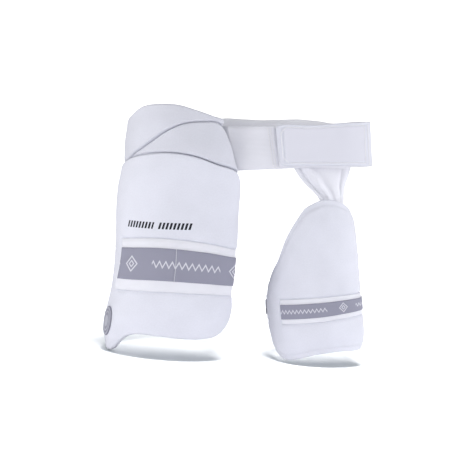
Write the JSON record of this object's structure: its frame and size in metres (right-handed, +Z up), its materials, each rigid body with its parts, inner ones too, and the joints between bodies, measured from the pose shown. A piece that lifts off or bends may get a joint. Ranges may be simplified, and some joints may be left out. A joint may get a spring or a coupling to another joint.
{
  "type": "cricket thigh guard",
  "caption": "Padded lower body guard as worn: moulded outer thigh pad with hip pads, waist belt with a closing tab, and an inner thigh pad on a gathered hanger.",
  "frame": {"origin": "middle of the waist belt's loop, halfway between its front and back and at half the belt's width", "axes": "+X to the viewer's right with the outer pad at the viewer's left, +Y away from the viewer, +Z up"},
  "size_m": [0.4178, 0.1809, 0.3991],
  "materials": {
    "thigh_pad": "knitted white cloth over foam",
    "hip_pad": "knitted white cloth over foam",
    "hip_cap": "knitted white cloth over foam",
    "inner_pad": "knitted white cloth over foam",
    "tab_face": "knitted white cloth over foam",
    "hanger": "knitted white cloth over foam",
    "thigh_strap": "white elastic webbing",
    "inner_strap": "white elastic webbing",
    "belt_front": "white elastic webbing",
    "waist_belt": "white elastic webbing",
    "tab_backing": "white elastic webbing",
    "thigh_band_front": "grey woven tape",
    "thigh_band_back": "grey woven tape",
    "inner_band": "grey woven tape",
    "thigh_badge": "moulded grey badge"
  },
  "bodies": {
    "root": {"thigh_pad": "thigh_pad", "hip_pad": "hip_pad", "hip_cap": "hip_cap", "inner_pad": "inner_pad", "tab_face": "tab_face", "hanger": "hanger", "thigh_strap": "thigh_strap", "inner_strap": "inner_strap", "belt_front": "belt_front", "waist_belt": "waist_belt", "tab_backing": "tab_backing", "thigh_band_front": "thigh_band_front", "thigh_band_back": "thigh_band_back", "inner_band": "inner_band", "thigh_badge": "thigh_badge"}
  },
  "joints": []
}
